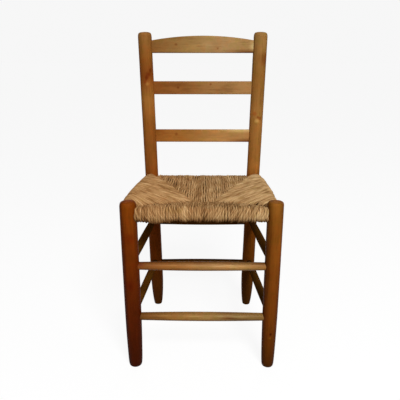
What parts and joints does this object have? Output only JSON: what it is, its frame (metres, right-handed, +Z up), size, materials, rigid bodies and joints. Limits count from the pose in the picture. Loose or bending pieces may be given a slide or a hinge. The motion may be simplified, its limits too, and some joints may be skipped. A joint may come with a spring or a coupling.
{
  "type": "rush seat chair",
  "caption": "Ladder-back wooden dining chair with turned posts, flat back slats, round stretchers and a dished seat of rush cord wound round its rails in wedges.",
  "frame": {"origin": "on the floor, under the middle of the bounding box", "axes": "+Z up, front of the chair towards -Y, +X to the viewer's right in the picture"},
  "size_m": [0.401, 0.399, 0.8685],
  "materials": {
    "front_post_wood": "varnished",
    "back_post_wood": "varnished",
    "stretcher_wood": "varnished, worn",
    "rail_wood": "bare",
    "slat_wood": "varnished",
    "rush": "twisted rush, matte",
    "stuffing": "waste rush, matte"
  },
  "bodies": {
    "root": {"front_post_left": "front_post_wood", "back_post_left": "back_post_wood", "front_post_right": "front_post_wood", "back_post_right": "back_post_wood", "front_upper_stretcher": "stretcher_wood", "right_upper_stretcher": "stretcher_wood", "back_upper_stretcher": "stretcher_wood", "left_upper_stretcher": "stretcher_wood", "front_lower_stretcher": "stretcher_wood", "right_lower_stretcher": "stretcher_wood", "back_lower_stretcher": "stretcher_wood", "left_lower_stretcher": "stretcher_wood", "front_seat_rail": "rail_wood", "right_seat_rail": "rail_wood", "back_seat_rail": "rail_wood", "left_seat_rail": "rail_wood", "lower_slat": "slat_wood", "middle_slat": "slat_wood", "crest_slat": "slat_wood", "rush_front": "rush", "rush_right": "rush", "rush_back": "rush", "rush_left": "rush", "seat_stuffing": "stuffing"}
  },
  "joints": []
}
